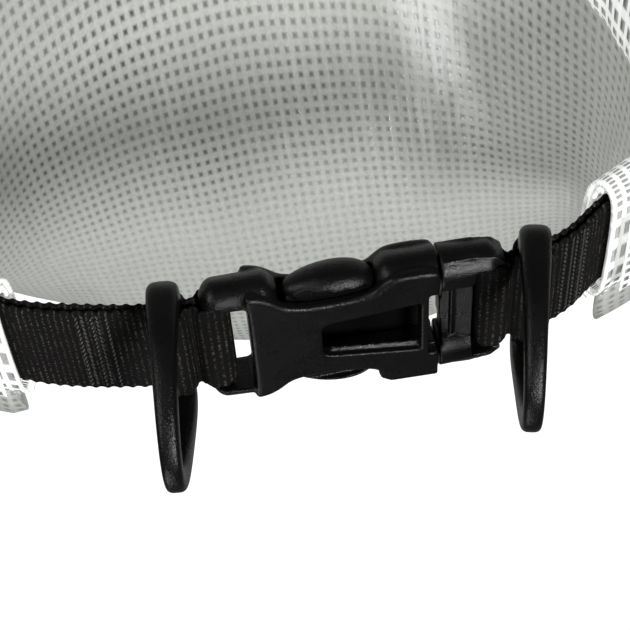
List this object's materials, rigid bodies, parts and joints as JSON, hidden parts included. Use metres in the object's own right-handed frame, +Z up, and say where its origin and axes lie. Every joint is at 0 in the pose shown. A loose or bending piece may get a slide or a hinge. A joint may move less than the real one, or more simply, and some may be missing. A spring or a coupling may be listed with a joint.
{
  "type": "roll-top dry bag",
  "caption": "Upright cylindrical dry bag of scrim-reinforced film whose rolled mouth is bent into a ring and clipped with a side-release buckle between D-rings.",
  "frame": {"origin": "centre of the base's underside", "axes": "+Z up from the base to the closure ring, -Y towards the side the rolled mouth leans over, +X towards the female half of the buckle"},
  "size_m": [0.2472, 0.2472, 0.5773],
  "materials": {
    "scrim_film": "glossy film with woven threads",
    "weld_strip": "satin",
    "webbing": "ribbed",
    "thread": "matte",
    "acetal": "satin moulded",
    "stiffener": "matte"
  },
  "bodies": {
    "bag": {"bag_wall": "scrim_film", "side_seam": "weld_strip", "base_disc": "scrim_film", "base_band": "weld_strip", "closure_roll": "scrim_film", "mouth_stiffener": "stiffener", "end_patch_female": "scrim_film", "end_patch_male": "scrim_film", "webbing_female": "webbing", "webbing_male": "webbing", "bar_tack_female": "thread", "bar_tack_male": "thread", "buckle_male": "acetal"},
    "female_half": {"buckle_female": "acetal"},
    "front_prong": {"prong_front": "acetal"},
    "back_prong": {"prong_back": "acetal"},
    "female_d": {"d_ring_female": "acetal"},
    "male_d": {"d_ring_male": "acetal"}
  },
  "joints": [
    {"name": "buckle_unclip", "type": "slide", "parent": "bag", "child": "female_half", "axis": [0.9954, 0.0166, 0.0944], "range_m": [0, 0.026], "deforming": ["webbing_female", "bar_tack_female", "prong_front", "prong_back"]},
    {"name": "front_squeeze", "type": "hinge", "parent": "bag", "child": "front_prong", "pos_m": [-0.02392, -0.04013, 0.54013], "axis": [-0.0958, 0.1728, 0.9803], "range_deg": [0, 5], "stiffness_Nm_per_rad": 2},
    {"name": "back_squeeze", "type": "hinge", "parent": "bag", "child": "back_prong", "pos_m": [-0.02392, -0.02043, 0.53666], "axis": [0.0958, -0.1728, -0.9803], "range_deg": [0, 5], "stiffness_Nm_per_rad": 2},
    {"name": "female_d_swing", "type": "hinge", "parent": "female_half", "child": "female_d", "pos_m": [0.03035, -0.02942, 0.54329], "axis": [0, -0.9848, 0.1736], "range_deg": [-63, 30]},
    {"name": "male_d_swing", "type": "hinge", "parent": "bag", "child": "male_d", "pos_m": [-0.0442, -0.03076, 0.53573], "axis": [0, -0.9848, 0.1736], "range_deg": [-16, 68]}
  ]
}
